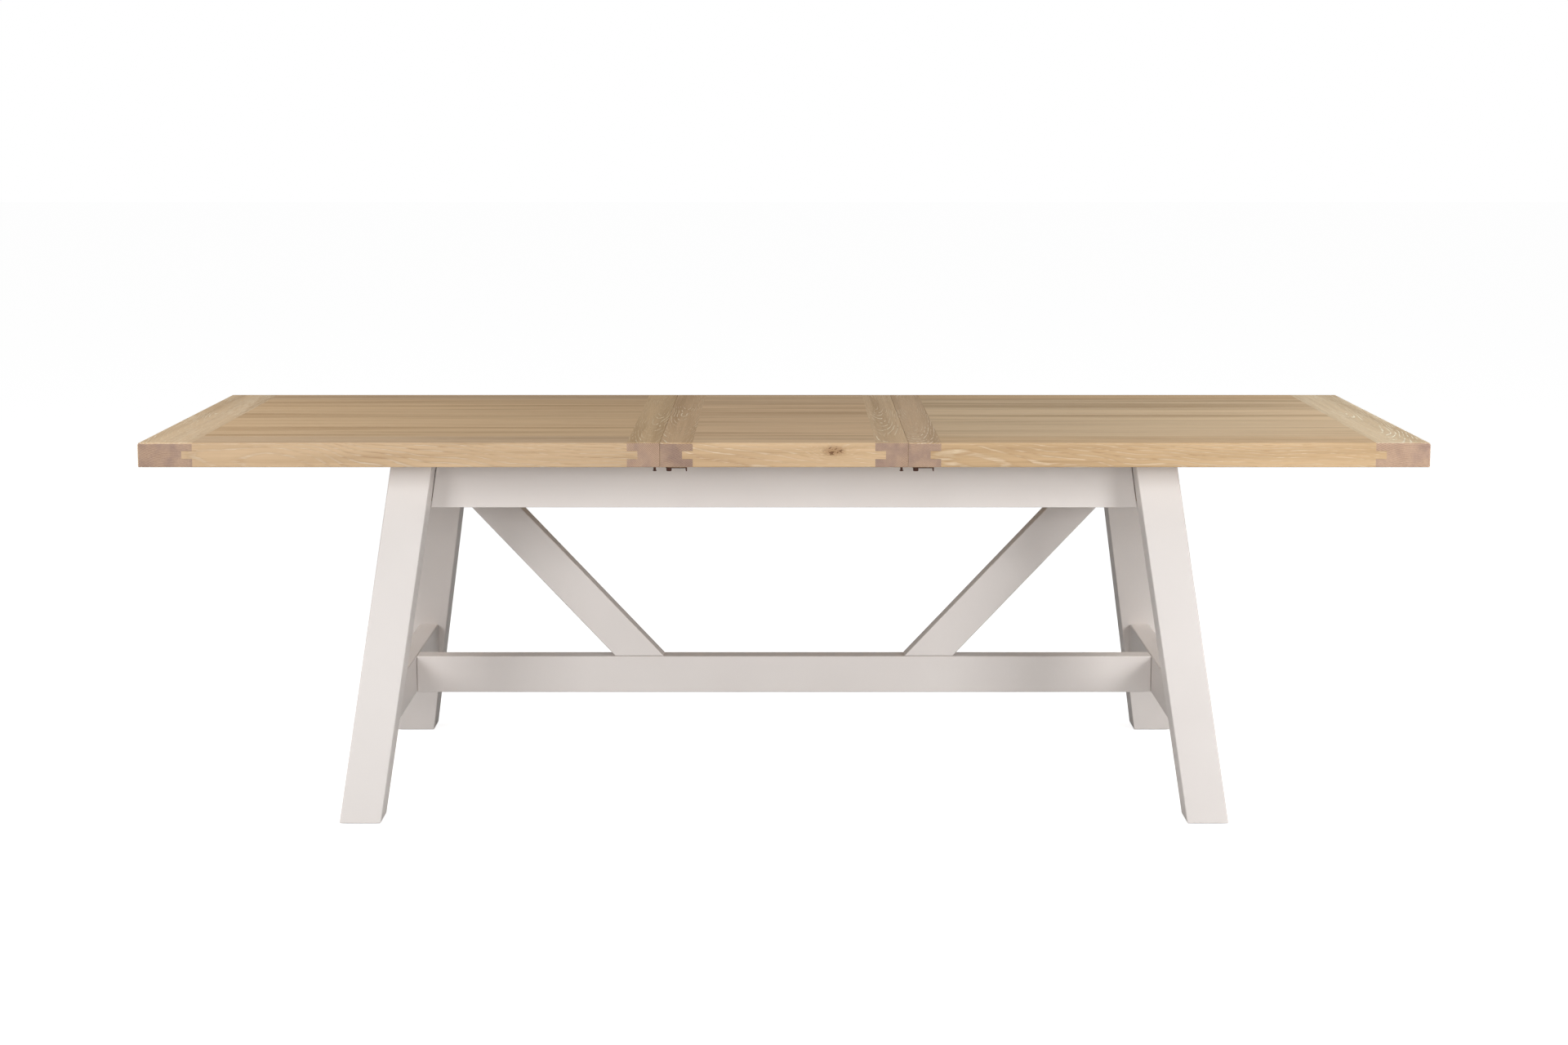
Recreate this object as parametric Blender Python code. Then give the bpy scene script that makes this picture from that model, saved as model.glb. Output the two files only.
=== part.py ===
"""Extending trestle dining table, drawn with its one-piece leaf in place.

A painted base of four splayed legs, two end frames, a centre stretcher with two braces and two
aprons stays still.  Two half-tops slide along X on grooved runners, a drop-in leaf lifts out
between them, and four steel hooks under the seams lock the tops together.

Metres, +Z up.  The origin is on the floor under the table's centre, +X runs along the table
and the front is at -Y.
"""
from math import cos, pi, radians, sin, tan

import bmesh
import bpy
from mathutils import Vector

# ---- driving dimensions ----------------------------------------------------------------
OPEN_LENGTH = 2.600          # table with the leaf in
LEAF_LENGTH = 0.500          # between the two seams
TOP_DEPTH = 0.950
TABLE_HEIGHT = 0.790
TOP_THICKNESS = 0.050

END_BOARD_WIDTH = 0.110      # outer cross board of each half-top
SEAM_BOARD_WIDTH = 0.066     # cross boards beside the seams
RAIL_WIDTH = 0.110           # long boards at the front and back edges
TONGUE_LENGTH = 0.022        # how far a board's tongue enters a cross board
EDGE_ROUND = 0.003           # rounded arris of the top
PAINT_ROUND = 0.0025         # rounded arris of the painted parts

LEG_SIDE = 0.085             # square leg, measured level
FOOT_X = 0.913               # outer faces of the feet at the floor
FOOT_Y = 0.475
LEG_TOP_X = 0.8035           # outer faces of the legs under the top
LEG_TOP_Y = 0.380
GLIDE_RADIUS = 0.022         # nylon disc under each foot
GLIDE_HEIGHT = 0.003

APRON_FACE_Y = 0.312         # front face of the apron
APRON_THICKNESS = 0.025
APRON_BOTTOM = 0.635
APRON_END_GAP = 0.0012       # open line between apron and leg
APRON_ROUND = 0.0015

HEAD_RAIL_INNER_X = 0.7375
HEAD_RAIL_RISE = 0.002       # its lower edge above the aprons'
HEAD_RAIL_DROP = 0.0015      # its upper edge below the top, the aprons' too
HEAD_RAIL_THICKNESS = 0.045
STRETCHER_BOTTOM = 0.182
STRETCHER_TOP = 0.263
STRETCHER_THICKNESS = 0.050
END_STRETCHER_INNER_X = 0.809
END_STRETCHER_THICKNESS = 0.045
TENON_THICKNESS = 0.020
TENON_LENGTH = 0.032
TENON_SHOULDER = 0.014       # step above and below a tenon
TENON_ROOT = 0.030           # a tenon's block starts this far inside its own rail

BRACE_ANGLE = radians(46.8)
BRACE_LEVEL_WIDTH = 0.107    # width of a brace measured along X
BRACE_FOOT_X = 0.264         # its lower end nearest the table's centre
BRACE_TOP_GAP = 0.001        # below the aprons' upper edge

BEARER_X = 0.300             # cross bearers under the runners
BEARER_WIDTH = 0.045
BEARER_DEPTH = 0.050
CORNER_BLOCK_SIDE = 0.060
CORNER_BLOCK_BOTTOM = 0.645

RUNNER_FACE_Y = 0.2612       # grooved face of a runner, towards the apron
RUNNER_WIDTH = 0.030
RUNNER_BOTTOM = 0.7155
RUNNER_START_X = 0.318
RUNNER_END_X = 1.120
RUNNER_SLACK = 0.0012        # beside a runner in its notch
NOTCH_OVERCUT = 0.010        # the notch tool stands out of the rail on both sides
GROOVE_DEPTH = 0.009
GUIDE_TONGUE = (0.7230, 0.7310)   # height range of the guide rail's tongue
GUIDE_TONGUE_SLACK = 0.0008
GUIDE_TONGUE_TIP_GAP = 0.001
GUIDE_HALF_LENGTH = 0.730
STOP_BLOCK_LENGTH = 0.057
STOP_BLOCK_WIDTH = 0.030
STOP_BLOCK_RISE = 0.002      # its lower face above the guide's tongue line
OVERLAP = 0.001              # solids joined into one run this far into each other
STRIP_INSET = 0.003          # glide strip from the apron's two faces
STRIP_END_INSET = 0.005
OVERTRAVEL = 0.040           # a half-top slides this far out to free the leaf

CATCH_Y = 0.435              # line of the catches, from the centre
CATCH_PIVOT = 0.017          # pivot to the right of its seam
CATCH_REACH = 0.029          # pivot to stud
CATCH_PLATE = 0.0012         # sheet thickness of the plates
PLATE_SPAN = (0.003, 0.047)  # pivot plate, measured from its seam
PLATE_HALF_WIDTH = 0.012
KEEPER_SPAN = (-0.010, 0.009)     # keeper plate, measured from its stud
KEEPER_HALF_WIDTH = 0.010
CATCH_DEPTH = 0.0125         # lowest point under the top
HOOK_TOP_DROP = 0.0025       # hook's upper face below the underside
HOOK_THICKNESS = 0.0035
HOOK_EYE_RADIUS = 0.0070
HOOK_TIP_RADIUS = 0.0075
HOOK_TAB_SPAN = (0.0045, 0.0075)  # finger tab beyond the tip's centre
HOOK_TAB_HALF_WIDTH = 0.0045
PIN_RADIUS = 0.003
PIN_HEAD_RADIUS = 0.0055
STUD_RADIUS = 0.0025
STUD_HEAD_RADIUS = 0.004
STUD_HEAD_HEIGHT = 0.002
PIN_EMBED = 0.0004           # pins and tabs stop this far below the face they join
MOUTH_GAP = 0.0005           # around the stud in the hook's mouth
MOUTH_CUT = 0.020            # length of the mouth's tool
MOUTH_FLARE = 0.0015         # room for the stud's arc as the hook swings on

FIT = 0.0003                 # gap between touching pieces
BASE_CLEARANCE = 0.0005      # between the base and the sliding tops

# ---- worked out from those -------------------------------------------------------------
UNDERSIDE = TABLE_HEIGHT - TOP_THICKNESS
LAYER = TOP_THICKNESS / 3                     # the corner joints divide the top in thirds
GROOVE_LOW = UNDERSIDE + LAYER
GROOVE_HIGH = TABLE_HEIGHT - LAYER
HALF_DEPTH = TOP_DEPTH / 2
SEAM_X = LEAF_LENGTH / 2
HALF_LENGTH = OPEN_LENGTH / 2
SPLAY_X = (FOOT_X - LEG_TOP_X) / UNDERSIDE
SPLAY_Y = (FOOT_Y - LEG_TOP_Y) / UNDERSIDE
LEG_TOP = UNDERSIDE - BASE_CLEARANCE
RAIL_TOP = UNDERSIDE - HEAD_RAIL_DROP
STRIP_TOP = UNDERSIDE - FIT
PANEL_HALF_DEPTH = HALF_DEPTH - RAIL_WIDTH - FIT

SIDES = (("left", -1), ("right", 1))
FACES = (("front", -1), ("back", 1))

# ---- finishes: linear colour, roughness, metallic --------------------------------------
OAK = ((0.515, 0.402, 0.242), 0.55, 0.0)
OAK_EDGE = ((0.730, 0.515, 0.280), 0.55, 0.0)
PAINT = ((0.720, 0.680, 0.640), 0.45, 0.0)
BEECH = ((0.560, 0.400, 0.240), 0.60, 0.0)
NYLON = ((0.620, 0.600, 0.560), 0.50, 0.0)
DARK_STEEL = ((0.060, 0.045, 0.040), 0.40, 1.0)


# ---- mesh helpers ----------------------------------------------------------------------
def prism(outline, axis, low, high):
    """Closed solid: an outline in the plane across `axis`, drawn from low to high along it.

    The outline's two numbers are (y, z) for axis X, (x, z) for Y and (x, y) for Z.
    """
    frames = {
        "X": lambda a, b: Vector((low, a, b)),
        "Y": lambda a, b: Vector((a, low, b)),
        "Z": lambda a, b: Vector((a, b, low)),
    }
    directions = {"X": Vector((1, 0, 0)), "Y": Vector((0, 1, 0)), "Z": Vector((0, 0, 1))}
    bm = bmesh.new()
    face = bm.faces.new([bm.verts.new(frames[axis](a, b)) for a, b in outline])
    grown = bmesh.ops.extrude_face_region(bm, geom=[face])
    moved = [item for item in grown["geom"] if isinstance(item, bmesh.types.BMVert)]
    bmesh.ops.translate(bm, vec=directions[axis] * (high - low), verts=moved)
    bmesh.ops.recalc_face_normals(bm, faces=bm.faces)
    return bm


def box(x_range, y_range, z_range):
    """Rectangular block between the given limits, which may come in either order."""
    (x0, x1), (y0, y1), (z0, z1) = sorted(x_range), sorted(y_range), sorted(z_range)
    return prism([(x0, y0), (x1, y0), (x1, y1), (x0, y1)], "Z", z0, z1)


def disc(centre, radius, low, high, segments=24):
    """Upright round block."""
    cx, cy = centre
    turns = [2 * pi * i / segments for i in range(segments)]
    return prism([(cx + radius * cos(t), cy + radius * sin(t)) for t in turns], "Z", low, high)


def round_edges(bm, wanted, width, segments=2):
    """Round the edges for which wanted(first point, second point) is true."""
    edges = [e for e in bm.edges if wanted(e.verts[0].co, e.verts[1].co)]
    bmesh.ops.bevel(bm, geom=edges, offset=width, segments=segments, profile=0.5,
                    affect="EDGES", material=-1)
    return bm


def both_at(a, b, index, value):
    """Whether an edge lies wholly in the plane where the coordinate is value or -value."""
    return abs(a[index] - b[index]) < 1e-5 and abs(abs(a[index]) - value) < 1e-5


# ---- object helpers --------------------------------------------------------------------
def make_finish(name, finish):
    """Principled material for one sub-part."""
    colour, roughness, metallic = finish
    material = bpy.data.materials.new(name + "_finish")
    material.use_nodes = True
    shader = material.node_tree.nodes["Principled BSDF"]
    shader.inputs["Base Color"].default_value = (*colour, 1.0)
    shader.inputs["Roughness"].default_value = roughness
    shader.inputs["Metallic"].default_value = metallic
    return material


def joint_empty(name, place):
    """Empty on a joint's axis, to which the pieces of the moving body are parented."""
    empty = bpy.data.objects.new(name, None)
    empty.location = place
    bpy.context.scene.collection.objects.link(empty)
    return empty


def add_part(name, bm, finish, body, smooth_angle=None):
    """Sub-part from a bmesh drawn in table coordinates.  Its origin goes to its body's joint."""
    place = Vector(body.location)
    bmesh.ops.translate(bm, vec=-place, verts=bm.verts)
    mesh = bpy.data.meshes.new(name)
    bm.to_mesh(mesh)
    bm.free()
    if smooth_angle is not None:
        mesh.shade_smooth()
        mesh.set_sharp_from_angle(angle=smooth_angle)
    part = bpy.data.objects.new(name, mesh)
    mesh.materials.append(make_finish(name, finish))
    part.parent = body
    bpy.context.scene.collection.objects.link(part)
    return part


def add_boolean(part, operation, bm):
    """Live Boolean on a part.  The tool is drawn in table coordinates and stays hidden."""
    mesh = bpy.data.meshes.new(part.name + "_tool")
    bmesh.ops.translate(bm, vec=-Vector(part.parent.location), verts=bm.verts)
    bm.to_mesh(mesh)
    bm.free()
    tool = bpy.data.objects.new(part.name + "_tool", mesh)
    tool.parent = part.parent
    tool.hide_render = True
    tool.display_type = "WIRE"
    bpy.context.scene.collection.objects.link(tool)
    modifier = part.modifiers.new(operation.lower(), "BOOLEAN")
    modifier.operation = operation
    modifier.solver = "EXACT"
    modifier.object = tool


# ---- painted base ----------------------------------------------------------------------
def leg_x(z, inner=False):
    """|X| of a leg's outer or inner face at height z."""
    return FOOT_X - SPLAY_X * z - (LEG_SIDE if inner else 0.0)


def leg_y(z, inner=False):
    """|Y| of a leg's outer or inner face at height z."""
    return FOOT_Y - SPLAY_Y * z - (LEG_SIDE if inner else 0.0)


def tenon(x_range, z_range, face_y, grow=0.0):
    """Tenon box along Y that starts inside its rail and runs into the leg from |Y| = face_y."""
    x_span = (x_range[0] - grow, x_range[1] + grow)
    z_span = (z_range[0] - grow, z_range[1] + grow)
    return x_span, (face_y - TENON_ROOT, face_y + TENON_LENGTH + grow), z_span


def head_tenon(grow=0.0):
    """Head rail's tenon on the positive side of X and Y."""
    middle = HEAD_RAIL_INNER_X + HEAD_RAIL_THICKNESS / 2
    span = (middle - TENON_THICKNESS / 2, middle + TENON_THICKNESS / 2)
    heights = (APRON_BOTTOM + TENON_SHOULDER, RAIL_TOP - 2 * TENON_SHOULDER)
    return tenon(span, heights, leg_y(APRON_BOTTOM, inner=True), grow)


def end_stretcher_tenon(grow=0.0):
    """End stretcher's tenon on the positive side of X and Y."""
    middle = END_STRETCHER_INNER_X + END_STRETCHER_THICKNESS / 2
    span = (middle - TENON_THICKNESS / 2, middle + TENON_THICKNESS / 2)
    heights = (STRETCHER_BOTTOM + TENON_SHOULDER, STRETCHER_TOP - TENON_SHOULDER)
    return tenon(span, heights, leg_y(STRETCHER_BOTTOM, inner=True), grow)


def centre_tenon(grow=0.0):
    """Centre stretcher's tenon into the end stretcher on the positive side of X."""
    face = END_STRETCHER_INNER_X
    half = TENON_THICKNESS / 2 + grow
    heights = (STRETCHER_BOTTOM + TENON_SHOULDER - grow, STRETCHER_TOP - TENON_SHOULDER + grow)
    return (face - TENON_ROOT, face + TENON_LENGTH + grow), (-half, half), heights


def mirrored(box_ranges, sx, sy):
    """The same box on the side of the table given by the signs."""
    x_range, y_range, z_range = box_ranges
    return [sx * x for x in x_range], [sy * y for y in y_range], z_range


def add_leg(side, sx, face, sy, base):
    """Square leg leaning in both directions, with mortises for both cross members."""
    corners = []
    for inner_x, inner_y in ((False, False), (True, False), (True, True), (False, True)):
        corners.append((sx * leg_x(GLIDE_HEIGHT, inner_x), sy * leg_y(GLIDE_HEIGHT, inner_y)))
    bm = prism(corners, "Z", GLIDE_HEIGHT, LEG_TOP)
    rise = LEG_TOP - GLIDE_HEIGHT
    lean = Vector((-sx * SPLAY_X * rise, -sy * SPLAY_Y * rise, 0))
    bmesh.ops.translate(bm, vec=lean, verts=[v for v in bm.verts if v.co.z > LEG_TOP - FIT])
    bmesh.ops.recalc_face_normals(bm, faces=bm.faces)
    round_edges(bm, lambda a, b: abs(a.z - b.z) > rise / 2, PAINT_ROUND)
    leg = add_part(f"leg_{face}_{side}", bm, PAINT, base)
    add_boolean(leg, "DIFFERENCE", box(*mirrored(head_tenon(FIT), sx, sy)))
    add_boolean(leg, "DIFFERENCE", box(*mirrored(end_stretcher_tenon(FIT), sx, sy)))

    foot = (sx * (FOOT_X - LEG_SIDE / 2), sy * (FOOT_Y - LEG_SIDE / 2))
    glide = disc(foot, GLIDE_RADIUS, 0.0, GLIDE_HEIGHT - FIT)
    add_part(f"glide_{face}_{side}", glide, NYLON, base, smooth_angle=radians(40))


def cross_member(x_range, z_low, z_high):
    """Bar along Y between two legs, its ends cut to the legs' lean."""
    low = leg_y(z_low, inner=True) - FIT
    high = leg_y(z_high, inner=True) - FIT
    outline = [(-low, z_low), (low, z_low), (high, z_high), (-high, z_high)]
    bm = prism(outline, "X", *sorted(x_range))
    return round_edges(bm, lambda a, b: abs(a.y - b.y) > low, PAINT_ROUND)


def add_end_frame(side, sx, base):
    """Head rail with its runner notches, and the end stretcher near the floor."""
    x_range = (sx * HEAD_RAIL_INNER_X, sx * (HEAD_RAIL_INNER_X + HEAD_RAIL_THICKNESS))
    bm = cross_member(x_range, APRON_BOTTOM + HEAD_RAIL_RISE, RAIL_TOP)
    head_rail = add_part(f"head_rail_{side}", bm, PAINT, base)
    for sy in (-1, 1):
        add_boolean(head_rail, "UNION", box(*mirrored(head_tenon(), sx, sy)))
    notch_y = (RUNNER_FACE_Y - RUNNER_WIDTH - RUNNER_SLACK, RUNNER_FACE_Y + RUNNER_SLACK)
    notch_z = (RUNNER_BOTTOM - FIT, UNDERSIDE)
    notch_x = (HEAD_RAIL_INNER_X - NOTCH_OVERCUT,
               HEAD_RAIL_INNER_X + HEAD_RAIL_THICKNESS + NOTCH_OVERCUT)
    for sy in (-1, 1):
        add_boolean(head_rail, "DIFFERENCE", box(*mirrored((notch_x, notch_y, notch_z), sx, sy)))

    inner = END_STRETCHER_INNER_X
    x_range = (sx * inner, sx * (inner + END_STRETCHER_THICKNESS))
    bm = cross_member(x_range, STRETCHER_BOTTOM, STRETCHER_TOP)
    end_stretcher = add_part(f"end_stretcher_{side}", bm, PAINT, base)
    for sy in (-1, 1):
        add_boolean(end_stretcher, "UNION", box(*mirrored(end_stretcher_tenon(), sx, sy)))
    add_boolean(end_stretcher, "DIFFERENCE", box(*mirrored(centre_tenon(FIT), sx, 1)))


def add_brace(side, sx, base):
    """Diagonal from the centre stretcher up to the head rail, flush with the stretcher."""
    slope = tan(BRACE_ANGLE)
    foot_z = STRETCHER_TOP + FIT
    top_z = RAIL_TOP - BRACE_TOP_GAP
    end_x = HEAD_RAIL_INNER_X - FIT
    outer_foot = BRACE_FOOT_X + BRACE_LEVEL_WIDTH
    outline = [
        (BRACE_FOOT_X, foot_z),
        (outer_foot, foot_z),
        (end_x, foot_z + (end_x - outer_foot) * slope),
        (end_x, top_z),
        (BRACE_FOOT_X + (top_z - foot_z) / slope, top_z),
    ]
    half = STRETCHER_THICKNESS / 2
    bm = prism([(sx * x, z) for x, z in outline], "Y", -half, half)
    round_edges(bm, lambda a, b: both_at(a, b, 1, half) and abs(a.x - b.x) > 0.2, PAINT_ROUND)
    add_part(f"brace_{side}", bm, PAINT, base)


def add_centre_stretcher(base):
    """Long stretcher on the table's centre plane, tenoned into both end stretchers."""
    half_length = END_STRETCHER_INNER_X - FIT
    half = STRETCHER_THICKNESS / 2
    bm = box((-half_length, half_length), (-half, half), (STRETCHER_BOTTOM, STRETCHER_TOP))
    round_edges(bm, lambda a, b: abs(a.x - b.x) > half_length, PAINT_ROUND)
    stretcher = add_part("centre_stretcher", bm, PAINT, base)
    for sx in (-1, 1):
        add_boolean(stretcher, "UNION", box(*mirrored(centre_tenon(), sx, 1)))


def add_apron(face, sy, base):
    """Apron, the guide rail on its inner side and the glide strip on its top edge."""
    low = leg_x(APRON_BOTTOM, inner=True) - APRON_END_GAP
    high = leg_x(RAIL_TOP, inner=True) - APRON_END_GAP
    outline = [(-low, APRON_BOTTOM), (low, APRON_BOTTOM), (high, RAIL_TOP), (-high, RAIL_TOP)]
    inner_y = APRON_FACE_Y - APRON_THICKNESS
    bm = prism(outline, "Y", *sorted((sy * inner_y, sy * APRON_FACE_Y)))
    round_edges(bm, lambda a, b: both_at(a, b, 2, APRON_BOTTOM) and abs(a.x - b.x) > low,
                APRON_ROUND)
    add_part(f"apron_{face}", bm, PAINT, base)

    face_y = RUNNER_FACE_Y + GUIDE_TONGUE_SLACK
    tip_y = face_y - GROOVE_DEPTH + GUIDE_TONGUE_TIP_GAP
    tongue_low, tongue_high = GUIDE_TONGUE
    outline = [
        (inner_y - FIT, RUNNER_BOTTOM + FIT),
        (inner_y - FIT, RAIL_TOP - FIT),
        (face_y, RAIL_TOP - FIT),
        (face_y, tongue_high),
        (tip_y, tongue_high),
        (tip_y, tongue_low),
        (face_y, tongue_low),
        (face_y, RUNNER_BOTTOM + FIT),
    ]
    rail = prism([(sy * y, z) for y, z in outline], "X", -GUIDE_HALF_LENGTH, GUIDE_HALF_LENGTH)
    add_part(f"guide_rail_{face}", rail, BEECH, base)

    strip_y = (sy * (inner_y + STRIP_INSET), sy * (APRON_FACE_Y - STRIP_INSET))
    strip_end = high - STRIP_END_INSET
    strip = box((-strip_end, strip_end), strip_y, (RAIL_TOP + FIT, STRIP_TOP))
    add_part(f"glide_strip_{face}", strip, NYLON, base)


def add_bearer(side, sx, base):
    """Cross bearer between the aprons, on which the runners slide."""
    half_length = APRON_FACE_Y - APRON_THICKNESS - FIT
    x_range = (sx * BEARER_X - BEARER_WIDTH / 2, sx * BEARER_X + BEARER_WIDTH / 2)
    top = RUNNER_BOTTOM - FIT
    bm = box(x_range, (-half_length, half_length), (top - BEARER_DEPTH, top))
    add_part(f"cross_bearer_{side}", bm, BEECH, base)


def add_corner_block(side, sx, face, sy, base):
    """Three-cornered glue block where an apron meets a head rail."""
    x = HEAD_RAIL_INNER_X - FIT
    y = APRON_FACE_Y - APRON_THICKNESS - FIT
    outline = [(x, y), (x - CORNER_BLOCK_SIDE, y), (x, y - CORNER_BLOCK_SIDE)]
    top = RUNNER_BOTTOM - 2 * FIT
    bm = prism([(sx * px, sy * py) for px, py in outline], "Z", CORNER_BLOCK_BOTTOM, top)
    add_part(f"corner_block_{face}_{side}", bm, BEECH, base)


# ---- top boards ------------------------------------------------------------------------
def cross_board(outer_x, inner_x):
    """Board along Y with the groove for its neighbours' tongues in the edge at inner_x."""
    towards = 1 if outer_x > inner_x else -1
    floor_x = inner_x + towards * TONGUE_LENGTH
    outline = [
        (outer_x, UNDERSIDE), (inner_x, UNDERSIDE), (inner_x, GROOVE_LOW), (floor_x, GROOVE_LOW),
        (floor_x, GROOVE_HIGH), (inner_x, GROOVE_HIGH), (inner_x, TABLE_HEIGHT),
        (outer_x, TABLE_HEIGHT),
    ]
    return prism(outline, "Y", -HALF_DEPTH, HALF_DEPTH)


def at_faces(a, b):
    """Edge lying in the top's upper face or in its underside."""
    return both_at(a, b, 2, TABLE_HEIGHT) or both_at(a, b, 2, UNDERSIDE)


def add_boards(name, x_low, x_high, low_width, high_width, outer_x, body):
    """Framed panel between x_low and x_high: two cross boards, two rails and the field.

    outer_x is the free end's |X|, whose arrises are rounded; None for the leaf.
    """
    labels = ("left_board", "right_board")
    if outer_x:
        labels = ("end_board", "seam_board") if x_low < 0 else ("seam_board", "end_board")

    def rounded(a, b):
        at_front = both_at(a, b, 1, HALF_DEPTH) and at_faces(a, b)
        if not outer_x:
            return at_front
        return at_front or (both_at(a, b, 0, outer_x) and
                            (at_faces(a, b) or both_at(a, b, 1, HALF_DEPTH)))

    inner_low = x_low + low_width
    inner_high = x_high - high_width
    for label, edge, inner in ((labels[0], x_low, inner_low), (labels[1], x_high, inner_high)):
        bm = round_edges(cross_board(edge, inner), rounded, EDGE_ROUND)
        add_part(f"{name}_{label}", bm, OAK, body)

    left, right = inner_low + FIT, inner_high - FIT
    tip_left = left - TONGUE_LENGTH + FIT
    tip_right = right + TONGUE_LENGTH - FIT
    low, high = GROOVE_LOW + FIT, GROOVE_HIGH - FIT
    upper = [(tip_right, high), (right, high), (right, TABLE_HEIGHT), (left, TABLE_HEIGHT),
             (left, high), (tip_left, high), (tip_left, low)]
    rail_outline = [(left, UNDERSIDE), (right, UNDERSIDE), (right, low), (tip_right, low),
                    *upper, (left, low)]
    for face, sy in FACES:
        y_range = sorted((sy * (HALF_DEPTH - RAIL_WIDTH), sy * HALF_DEPTH))
        bm = prism(rail_outline, "Y", *y_range)
        round_edges(bm, lambda a, b: both_at(a, b, 1, HALF_DEPTH) and at_faces(a, b), EDGE_ROUND)
        add_part(f"{name}_{face}_rail", bm, OAK_EDGE, body)

    panel = prism([(tip_right, low), *upper], "Y", -PANEL_HALF_DEPTH, PANEL_HALF_DEPTH)
    add_part(f"{name}_panel", panel, OAK, body)


def add_runner(side, sx, face, sy, body):
    """Grooved runner under a half-top, with the stop block that ends its travel."""
    inner_y = RUNNER_FACE_Y - RUNNER_WIDTH
    top = GROOVE_LOW
    floor_y = RUNNER_FACE_Y - GROOVE_DEPTH
    low = GUIDE_TONGUE[0] - GUIDE_TONGUE_SLACK
    high = GUIDE_TONGUE[1] + GUIDE_TONGUE_SLACK
    outline = [
        (inner_y, RUNNER_BOTTOM), (RUNNER_FACE_Y, RUNNER_BOTTOM), (RUNNER_FACE_Y, low),
        (floor_y, low), (floor_y, high), (RUNNER_FACE_Y, high), (RUNNER_FACE_Y, top),
        (inner_y, top),
    ]
    span = sorted((sx * RUNNER_START_X, sx * RUNNER_END_X))
    bm = prism([(sy * y, z) for y, z in outline], "X", *span)
    runner = add_part(f"runner_{side}_{face}", bm, BEECH, body)
    stop_end = HEAD_RAIL_INNER_X - OVERTRAVEL - BASE_CLEARANCE
    stop = ((stop_end - STOP_BLOCK_LENGTH, stop_end),
            (inner_y - STOP_BLOCK_WIDTH, inner_y + OVERLAP),
            (GUIDE_TONGUE[0] + STOP_BLOCK_RISE, top - OVERLAP))
    add_boolean(runner, "UNION", box(*mirrored(stop, sx, sy)))


# ---- catches ---------------------------------------------------------------------------
def add_catch(side, face, sy, seam_x, bodies):
    """Pivot plate and hook right of a seam, and the keeper with its stud left of it."""
    pivot = (seam_x + CATCH_PIVOT, sy * CATCH_Y)
    stud = (pivot[0] - CATCH_REACH, sy * CATCH_Y)
    plate_z = (UNDERSIDE - FIT - CATCH_PLATE, UNDERSIDE - FIT)
    lowest = UNDERSIDE - CATCH_DEPTH
    hook_z = (UNDERSIDE - HOOK_TOP_DROP - HOOK_THICKNESS, UNDERSIDE - HOOK_TOP_DROP)
    inside = -sy                                   # towards the table's centre plane

    plate = box([seam_x + x for x in PLATE_SPAN],
                (pivot[1] - PLATE_HALF_WIDTH, pivot[1] + PLATE_HALF_WIDTH), plate_z)
    holder = add_part(f"catch_plate_{face}_{side}", plate, DARK_STEEL, bodies["holder"])
    pin_z = (lowest + OVERLAP, plate_z[1] - PIN_EMBED)
    add_boolean(holder, "UNION", disc(pivot, PIN_RADIUS, *pin_z))
    add_boolean(holder, "UNION", disc(pivot, PIN_HEAD_RADIUS, lowest, hook_z[0] - FIT))

    plate = box([stud[0] + x for x in KEEPER_SPAN],
                (stud[1] - KEEPER_HALF_WIDTH, stud[1] + KEEPER_HALF_WIDTH), plate_z)
    keeper = add_part(f"catch_keeper_{face}_{side}", plate, DARK_STEEL, bodies["keeper"])
    add_boolean(keeper, "UNION", disc(stud, STUD_RADIUS, *pin_z))
    add_boolean(keeper, "UNION", disc(stud, STUD_HEAD_RADIUS, lowest, lowest + STUD_HEAD_HEIGHT))

    reach = (pivot[0] + CATCH_REACH, pivot[1])     # the hook is drawn folded back
    around_eye = [pi / 2 + pi * i / 8 for i in range(9)]
    around_tip = [-pi / 2 + pi * i / 8 for i in range(9)]
    outline = [(pivot[0] + HOOK_EYE_RADIUS * cos(t), pivot[1] + HOOK_EYE_RADIUS * sin(t))
               for t in around_eye]
    outline += [(reach[0] + HOOK_TIP_RADIUS * cos(t), reach[1] + HOOK_TIP_RADIUS * sin(t))
                for t in around_tip]
    hook_body = bodies["hook"]
    hook = add_part(f"catch_hook_{face}_{side}", prism(outline, "Z", *hook_z), DARK_STEEL,
                    hook_body)
    add_boolean(hook, "DIFFERENCE", disc(pivot, PIN_RADIUS + FIT, lowest, UNDERSIDE))
    mouth = STUD_RADIUS + MOUTH_GAP
    mouth_x = (reach[0] - mouth - MOUTH_FLARE, reach[0] + mouth)
    mouth_y = (reach[1], reach[1] + inside * MOUTH_CUT)
    add_boolean(hook, "DIFFERENCE", box(mouth_x, mouth_y, (lowest, UNDERSIDE)))
    add_boolean(hook, "DIFFERENCE", disc(reach, mouth, lowest - FIT, UNDERSIDE + FIT))
    tab = box([reach[0] + x for x in HOOK_TAB_SPAN],
              (reach[1] - HOOK_TAB_HALF_WIDTH, reach[1] + HOOK_TAB_HALF_WIDTH),
              (lowest, hook_z[1] - PIN_EMBED))
    add_boolean(hook, "UNION", tab)


# ---- assembly --------------------------------------------------------------------------
def clear_scene():
    """Start from an empty file."""
    for item in list(bpy.data.objects):
        bpy.data.objects.remove(item, do_unlink=True)


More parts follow.
